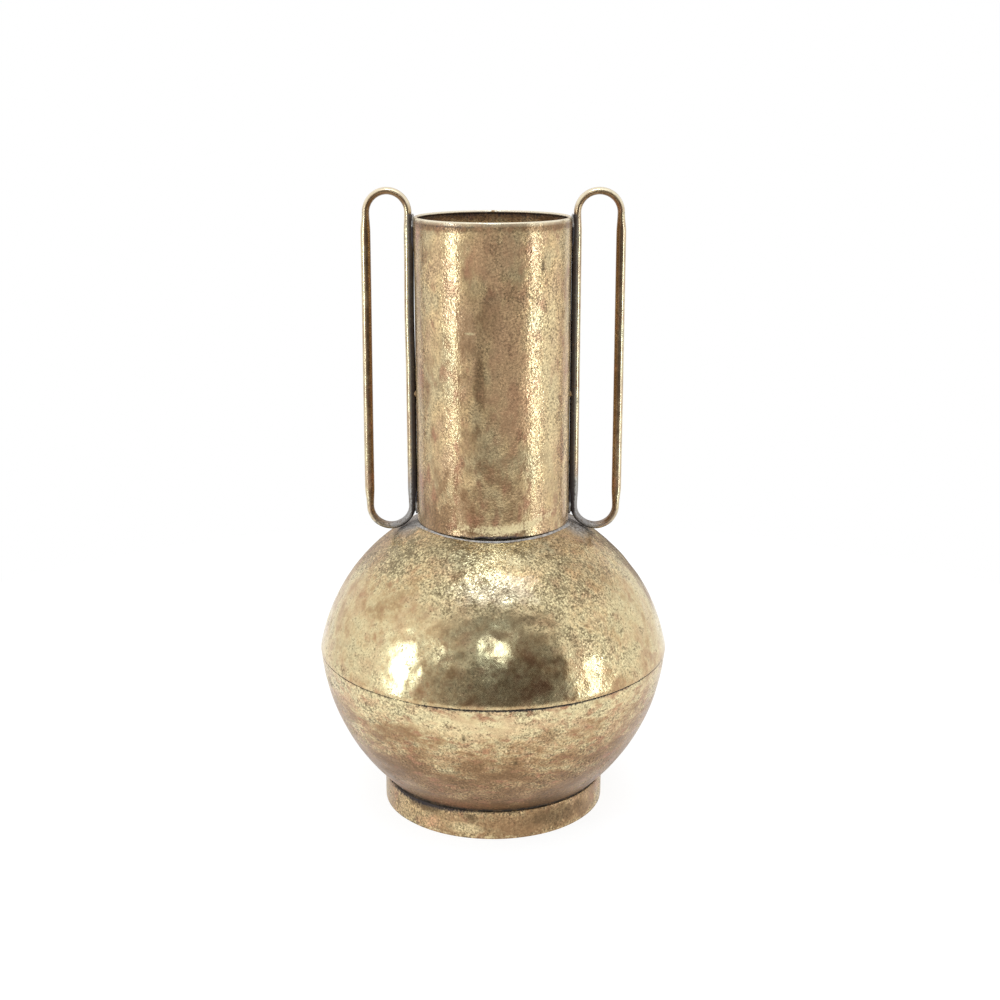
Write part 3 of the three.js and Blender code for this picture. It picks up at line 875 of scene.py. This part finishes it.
def handle_ring(height, angle, inset):
    """Points round the tube at a station. A flattened section keeps the tube's girth."""
    flat = 1 - fade(min(top_bend - height, height - low_bend), 0, FLATTENING_RUN)
    half = TUBE_RADIUS + (BEND_THICKNESS / 2 - TUBE_RADIUS) * flat
    half_deep = math.sqrt(2 * TUBE_RADIUS ** 2 - half ** 2)
    outer_loss = OUTER_WALL_SHARE * 2 * (TUBE_RADIUS - half)
    outward = Vector((math.cos(angle), 0, math.sin(angle)))
    centre = Vector((loop_x, 0, height)) + outward * (loop_half_width - outer_loss - half)
    deep = Vector((0, half_deep - inset, 0))
    turns = np.linspace(0, WHOLE_TURN, TUBE_SIDES, endpoint=False)
    return [centre + outward * (half - inset) * math.cos(turn) + deep * math.sin(turn) for turn in turns]


def push_handle(points, lean, bow, seed):
    """Lean the outer leg's top towards the neck, and set the inner leg close to it, but for a slight bow."""
    distance, height = np.abs(points[:, 0]), points[:, 2]
    innerness = fade(distance, handle_high.x - 2 * TUBE_RADIUS, handle_low.x + 2 * TUBE_RADIUS)
    outer_shift = lean * fade(height, low_bend, handle_high.z)
    inner_shift = INNER_LEG_SHIFT - bow * near(height, BOW_HEIGHT, 38 * MM)
    inner_shift = inner_shift * fade(height, handle_low.z, low_bend)
    sway = wander(points * [0, 0, 1], 60 * MM, seed) * 0.3 * MM
    moved = points.copy()
    moved[:, 0] -= np.sign(points[:, 0]) * (outer_shift * (1 - innerness) + inner_shift * innerness)
    moved[:, 1] += sway + wander(points, 7 * MM, seed + 1) * 0.06 * MM
    return moved


def mark_handle(points):
    """Painted highlight outside the loop and painted shade, in brown, inside it, over a little tarnish; but
    the inner leg has the painted highlight inside and painted shade by the neck.

    The crowns get a painted highlight, the metal is grey from heat near the shoulder, and painted shade lies
    under the low bend.
    """
    distance = np.abs(points[:, 0])
    height = points[:, 2]
    shaded_beside_neck = fade(distance, NECK_RADIUS + 6.5 * MM, NECK_RADIUS + 3.5 * MM)
    inner_middle = handle_low.x + TUBE_RADIUS
    crown = fade(height, top_bend, top_bend + 8 * MM)
    inner_leg = fade(distance, inner_middle + 8 * MM, inner_middle + MM) * (1 - crown)
    from_spine = np.hypot(distance - loop_x, height - np.clip(height, low_bend, top_bend))
    offset = from_spine - (loop_half_width - TUBE_RADIUS)
    lit_outside = fade(offset, -MM, MM)
    lit_inside = fade(offset, MM, -MM)
    lit_side = lit_outside + (lit_inside - lit_outside) * inner_leg
    scorch = fade(distance, loop_x + 6 * MM, NECK_RADIUS) * fade(height, low_bend + 50 * MM, low_bend)
    scorch += 0.42 * fade(height, low_bend + 6 * MM, low_bend - 8 * MM)
    shaded_underside = fade(offset, -0.2 * MM, 0.9 * MM) * fade(height, low_bend - 5 * MM, low_bend - 12 * MM)
    # Painted highlight on the lit side and the crowns; painted shade inside the loop, by the neck and under
    # the low bend
    return {
        "grime": 0.85 * shaded_beside_neck * fade(height, RIM_HEIGHT + 4 * MM, RIM_HEIGHT) + 0.55 * shaded_underside,
        "polish": 0.25 * lit_side * (1 - np.minimum(scorch, 1)) + 0.45 * crown * fade(offset, 0.2 * MM, MM),
        "brown": 0.15 + (0.7 + 0.5 * crown) * (1 - lit_side) * (1 - inner_leg),
        "coarse": np.full(len(points), 0.3),
        "scorch": scorch,
    }


def handle(side, sign, lean, bow, seed):
    """One loop of tube, and the braze that joins its two ends."""
    def tube(name, node, slot, stations, swell):
        rings = [handle_ring(*station, -swell) for station in stations]
        rings += [handle_ring(*station, TUBE_WALL) for station in reversed(stations)]
        points = np.array([p for ring in rings for p in ring])
        points[:, :2] *= sign  # a half turn about Z makes the left handle
        faces = []
        for i in range(len(rings)):
            here, there = i * TUBE_SIDES, (i + 1) % len(rings) * TUBE_SIDES
            for j in range(TUBE_SIDES):
                k = (j + 1) % TUBE_SIDES
                faces.append((here + j, there + j, there + k, here + k))
        made = make_object(name, push_handle(points, lean, bow, seed), faces, mark_handle(points))
        dress(made, node, slot, handle_brass)

    tube(f"bent_{side}_handle", f"{side}_handle", "antique_brass", handle_stations(), swell=0)
    ends = np.linspace(tube_joint + TUBE_JOINT_WIDTH, tube_joint - TUBE_JOINT_WIDTH, 5)
    joint = [(height, math.pi) for height in ends]
    tube(f"{side}_handle_joint", f"{side}_handle_joint_braze", "braze", joint, swell=0.03 * MM)


# Braze

BEAD_CLEARANCE = 0.05 * MM
NECK_BEAD_WIDTH = 1.05 * MM
NECK_BEAD_RISE = 0.5 * MM
NECK_BEAD_SINK = 0.1 * MM
FILLET_SPREAD = 2
FOOT_BEAD_RISE = 1.3 * MM
FOOT_BEAD_SINK = 0.2 * MM
FOOT_BEAD_SETBACK = 0.4 * MM
FOOT_BEAD_HOLLOW = 0.4 * MM
STRIP_OVERLAP = 0.1 * MM
STRIP_TURN_STEPS = 9
TACK_HALF_WIDTH = 2 * MM
TACK_STANDOFF = 0.5 * MM
TACK_RINGS = 14
TACK_SIDES = 24


def neck_base_braze():
    """Bead round the foot of the neck: thin, with painted shade in front where it meets the neck, and a grey
    fillet beside each handle.
    """
    inner = NECK_RADIUS + BEAD_CLEARANCE

    def push(points):
        distance = distance_from_axis(points)
        lift = points[:, 2] - shoulder_at(distance)
        beside_handle = near(np.abs(degrees_from_front(points)), 90, 40)
        ragged = 0.35 * wander(points, 9 * MM, seed=21)
        flare = NECK_FLARE * near(degrees_from_front(points), 0, 60)
        spread = inner + flare + (distance - inner) * (1 + ragged + FILLET_SPREAD * beside_handle)
        moved = push_radially(points, spread - distance)
        moved[:, 2] = shoulder_at(spread) + lift * (1 + ragged)
        return lumpy(moved, size=4 * MM, height=0.1 * MM, seed=22)

    def mark(points):
        front = near(degrees_from_front(points), 2, 45)
        shaded_beside_neck = near(distance_from_axis(points), NECK_RADIUS, 0.8 * MM)
        # Dark next to the neck, most in front: painted shade in the gap under the neck's foot
        return {"grime": (0.3 + 0.7 * front) * shaded_beside_neck}

    middle, outer = inner + NECK_BEAD_WIDTH / 2, inner + NECK_BEAD_WIDTH
    profile = [
        (inner, shoulder_at(inner, -NECK_BEAD_SINK)),
        (middle, shoulder_at(middle, -NECK_BEAD_SINK)),
        (outer, shoulder_at(outer, -NECK_BEAD_SINK)),
        (outer - 0.3 * MM, shoulder_at(outer, 0.6 * NECK_BEAD_RISE)),
        (middle, shoulder_at(middle, NECK_BEAD_RISE)),
        (inner, shoulder_at(inner, NECK_BEAD_RISE)),
    ]
    bead = revolve("neck_base_bead", profile, BEAD_TURN_STEPS, push, mark)
    dress(bead, "neck_base_braze", "braze", grey_braze)


def foot_braze():
    """Hollow bead in the groove between the foot ring and the bowl; its near-black also paints the groove's
    shade.
    """
    against = LOWER_BOWL_RADIUS + BEAD_CLEARANCE
    low, high = FOOT_HEIGHT - FOOT_BEAD_SINK, FOOT_HEIGHT + FOOT_BEAD_RISE
    outer = FOOT_RADIUS - FOOT_BEAD_SETBACK
    waist_height = (low + high) / 2 - FOOT_BEAD_HOLLOW
    waist = radius_at_height(lower_centre, against + FOOT_BEAD_HOLLOW, waist_height)

    def push(points):
        return lumpy(points, size=5 * MM, height=0.18 * MM, seed=31)

    profile = [
        *arc_by_height(lower_centre, against, high, low, 4),
        (outer, low + 0.1 * MM),
        (max(waist, outer - 0.3 * MM), waist_height),
    ]
    bead = revolve("foot_bead", profile, BEAD_TURN_STEPS, push)
    dress(bead, "foot_braze", "braze", dark_braze)


def seam_strip(name, node, profile, radius, push, mark, seed):
    """Braze that fills the joint of a rolled sheet at the back."""
    half = (SHEET_JOINT_WIDTH / 2 + STRIP_OVERLAP) / radius

    def uneven(points):
        return push_radially(push(points), wander(points, 3 * MM, seed) * 0.08 * MM)

    strip = revolve(name, profile, STRIP_TURN_STEPS, uneven, mark, span=(BACK - half, BACK + half))
    dress(strip, node, "braze", gold_braze)


def ball(centre, half, rings, sides):
    """Points and faces of an ellipsoid with an upright axis."""
    points = [centre + Vector((0, 0, half.z))]
    for i in range(1, rings):
        lean = math.pi * i / rings
        for j in range(sides):
            turn = WHOLE_TURN * j / sides
            points.append(centre + Vector((
                half.x * math.sin(lean) * math.cos(turn),
                half.y * math.sin(lean) * math.sin(turn),
                half.z * math.cos(lean),
            )))
    points.append(centre - Vector((0, 0, half.z)))
    last = len(points) - 1
    lowest = 1 + (rings - 2) * sides
    faces = []
    for j in range(sides):
        k = (j + 1) % sides
        faces.append((0, 1 + j, 1 + k))
        for i in range(rings - 2):
            here, below = 1 + i * sides, 1 + (i + 1) * sides
            faces.append((here + j, below + j, below + k, here + k))
        faces.append((lowest + j, last, lowest + k))
    return np.array(points), faces


def tack(name, node, material, seed, rise=0.0, drop=0.0):
    """Lump of braze between a handle and the neck, deep enough to wet both, run up or down between them."""
    low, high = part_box(node)
    high.z += rise
    low.z -= drop
    middle, half = (low + high) / 2, (high - low) / 2
    half.x = TACK_HALF_WIDTH
    centre = Vector((math.copysign(NECK_RADIUS + TACK_STANDOFF, middle.x), 0, middle.z))
    points, faces = ball(centre, half, TACK_RINGS, TACK_SIDES)
    height = points[:, 2]
    # The run between the handle and the neck is dark towards its far end: painted shade in the gap between
    # them
    grime = np.zeros(len(points))
    if rise:
        grime += fade(height, high.z - rise, high.z - rise / 2)
    if drop:
        grime += fade(height, low.z + drop, low.z + drop - 3 * MM)
    lump = make_object(name, lumpy(points, 2.4 * MM, 0.4 * MM, seed), faces, {"grime": grime})
    dress(lump, node, "braze", material)


upper_bowl()
lower_bowl()
neck_tube()
foot_ring()
handle("right", 1, lean=0.3 * MM, bow=0, seed=50)
handle("left", -1, lean=1.2 * MM, bow=0.35 * MM, seed=70)
for seed, side in enumerate(("right", "left"), start=80):
    tack(f"{side}_top_lump", f"{side}_handle_top_tack", grey_braze, seed, drop=18 * MM)
    tack(f"{side}_middle_lump", f"{side}_handle_middle_tack", gold_braze, seed + 10)
    tack(f"{side}_bottom_lump", f"{side}_handle_bottom_tack", grey_braze, seed + 20, rise=14 * MM)
neck_base_braze()
foot_braze()
seam_strip("neck_seam_strip", "neck_seam_braze", neck_profile(), NECK_RADIUS, push_neck, mark_neck, 41)
seam_strip("foot_seam_strip", "foot_seam_braze", foot_profile(), FOOT_RADIUS, push_foot, mark_foot, 43)

# The fillet inside the belly keeps its CAD shape
inside_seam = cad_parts["belly_seam_braze"].data.materials
inside_seam.clear()
inside_seam.append(grey_braze)


# Stage: a round white table top in a white tent whose front and back openings are dark

FLOOR_RADIUS = 0.68
FLOOR_SIDES = 64
FLOOR_GREY = 0.3
FLOOR_GLOW = 0.8
CARD_DISTANCE = 1.05
CARD_BOTTOM = -0.6
CARD_TINT = {"Red": 1.1, "Green": 0.98, "Blue": 0.92}


def flat_object(name, corners):
    mesh = bpy.data.meshes.new(name)
    mesh.from_pydata(corners, [], [tuple(range(len(corners)))])
    made = bpy.data.objects.new(name, mesh)
    bpy.context.scene.collection.objects.link(made)
    return made


def floor_material():
    """White floor that shows a faint shadow to the camera and to the metal."""
    shader = Shader("white_floor")
    path = shader.node("LightPath").outputs
    seen = shader.calc("ADD", path["Is Camera Ray"], path["Is Glossy Ray"])
    seen = shader.calc("ADD", seen, path["Is Transmission Ray"])
    glow = shader.remap(seen, 0.0, 1.0, 0.0, FLOOR_GLOW)
    matt = shader.node("BsdfDiffuse", {"Color": colour(FLOOR_GREY, FLOOR_GREY, FLOOR_GREY)})
    shine = shader.node("Emission", {"Color": colour(1, 1, 1), "Strength": glow})
    both = shader.node("AddShader", {0: matt.outputs[0], 1: shine.outputs[0]})
    return shader.finish(both.outputs[0])


floor_turns = np.linspace(0, WHOLE_TURN, FLOOR_SIDES, endpoint=False)
floor_edge = [(FLOOR_RADIUS * math.cos(a), FLOOR_RADIUS * math.sin(a), 0) for a in floor_turns]
floor = flat_object("floor", floor_edge)
floor.data.materials.append(floor_material())


def dark_card(name, y, half_width, top, dark, light):
    """Upright card that only shows in reflections: dark level with the belly, paler towards its edges."""
    left, right = -half_width, half_width
    outline = [(left, CARD_BOTTOM), (right, CARD_BOTTOM), (right, top), (left, top)]
    card = flat_object(name, [(x, y, z) for x, z in outline])
    shader = Shader(name)
    along = shader.node("SeparateXYZ", {0: shader.place}).outputs
    grey = shader.total(
        (1.0, shader.remap(along["Z"], 0.2 * top, 0.65 * top, dark, light)),
        (1.0 - light, shader.remap(along["Z"], 0.78 * top, top)),
        (0.2, shader.remap(along["Z"], 0.1, -0.15)),
        (0.5, shader.remap(along["X"], 0.05 * left, left)),
        (0.25, shader.remap(along["X"], 0.65 * right, right)),
    )
    channels = {channel: shader.calc("MULTIPLY", grey, share) for channel, share in CARD_TINT.items()}
    shade = shader.node("CombineColor", channels).outputs[0]
    glow = shader.node("Emission", {"Color": shade})
    card.data.materials.append(shader.finish(glow.outputs[0]))
    card.visible_camera = False
    card.visible_diffuse = False
    card.visible_shadow = False


dark_card("front_card", -CARD_DISTANCE, half_width=1.35, top=1.9, dark=0.1, light=0.3)
dark_card("back_card", CARD_DISTANCE, half_width=0.6, top=1.0, dark=0.2, light=0.6)


# Lights

WHITE = (1.0, 1.0, 1.0)
COOL = (0.76, 0.92, 1.0)
AT_NECK = (0, 0, 0.25)
AT_SHOULDER = (0, 0, 0.2)
AT_BELLY = (0, 0, 0.15)


def soft_light(name, place, aim, size, watts, tint=WHITE):
    data = bpy.data.lights.new(name, "AREA")
    data.shape = "ELLIPSE"
    data.size, data.size_y = size
    data.energy = watts
    data.color = tint
    lamp = bpy.data.objects.new(name, data)
    lamp.location = place
    lamp.rotation_euler = (Vector(aim) - Vector(place)).to_track_quat("-Z", "Y").to_euler()
    lamp.visible_camera = False
    bpy.context.scene.collection.objects.link(lamp)


soft_light("left_softbox", (-0.90, -0.53, 0.42), AT_NECK, size=(0.24, 0.34), watts=0.72, tint=COOL)
soft_light("left_strip", (-0.90, -0.53, 0.24), AT_NECK, size=(0.10, 0.48), watts=1.0, tint=COOL)
soft_light("right_softbox", (0.93, -0.47, 0.16), AT_NECK, size=(0.12, 0.52), watts=1.15, tint=COOL)
soft_light("top_softbox", (0.05, -0.15, 1.4), AT_SHOULDER, size=(1.1, 0.5), watts=1.2)
soft_light("top_core_left", (-0.13, -0.16, 1.35), AT_SHOULDER, size=(0.16, 0.07), watts=0.32, tint=COOL)
soft_light("top_core_right", (0.0, -0.3, 1.35), AT_SHOULDER, size=(0.22, 0.08), watts=0.42, tint=COOL)
soft_light("left_glint", (-0.62, -0.86, 0.64), AT_BELLY, size=(0.14, 0.18), watts=0.21, tint=COOL)
soft_light("front_haze", (-0.1, -1.02, 0.72), AT_BELLY, size=(0.8, 0.45), watts=0.25, tint=COOL)
soft_light("front_lamp", (0.04, -1.0, 0.74), AT_BELLY, size=(0.18, 0.24), watts=0.65, tint=COOL)

world = bpy.data.worlds.new("white_tent")
bpy.context.scene.world = world
world.use_nodes = True
backdrop = world.node_tree.nodes["Background"]
backdrop.inputs["Color"].default_value = (1, 1, 1, 1)
backdrop.inputs["Strength"].default_value = 1.0

# Camera, as fitted to the photograph

FOCAL_LENGTH_IN_PIXELS = 1480
IMAGE_WIDTH_IN_PIXELS = 1000
SENSOR_WIDTH = 36.0
CAMERA_TILT = math.radians(15.4)
CAMERA_PLACE = (4.7 * MM, -966 * MM, 479.2 * MM)

camera_data = bpy.data.cameras.new("camera")
camera_data.sensor_width = SENSOR_WIDTH
camera_data.lens = SENSOR_WIDTH * FOCAL_LENGTH_IN_PIXELS / IMAGE_WIDTH_IN_PIXELS
camera = bpy.data.objects.new("camera", camera_data)
camera.location = CAMERA_PLACE
camera.rotation_euler = (math.pi / 2 - CAMERA_TILT, 0, 0)
bpy.context.scene.collection.objects.link(camera)
bpy.context.scene.camera = camera
bpy.context.scene.view_settings.view_transform = "Standard"
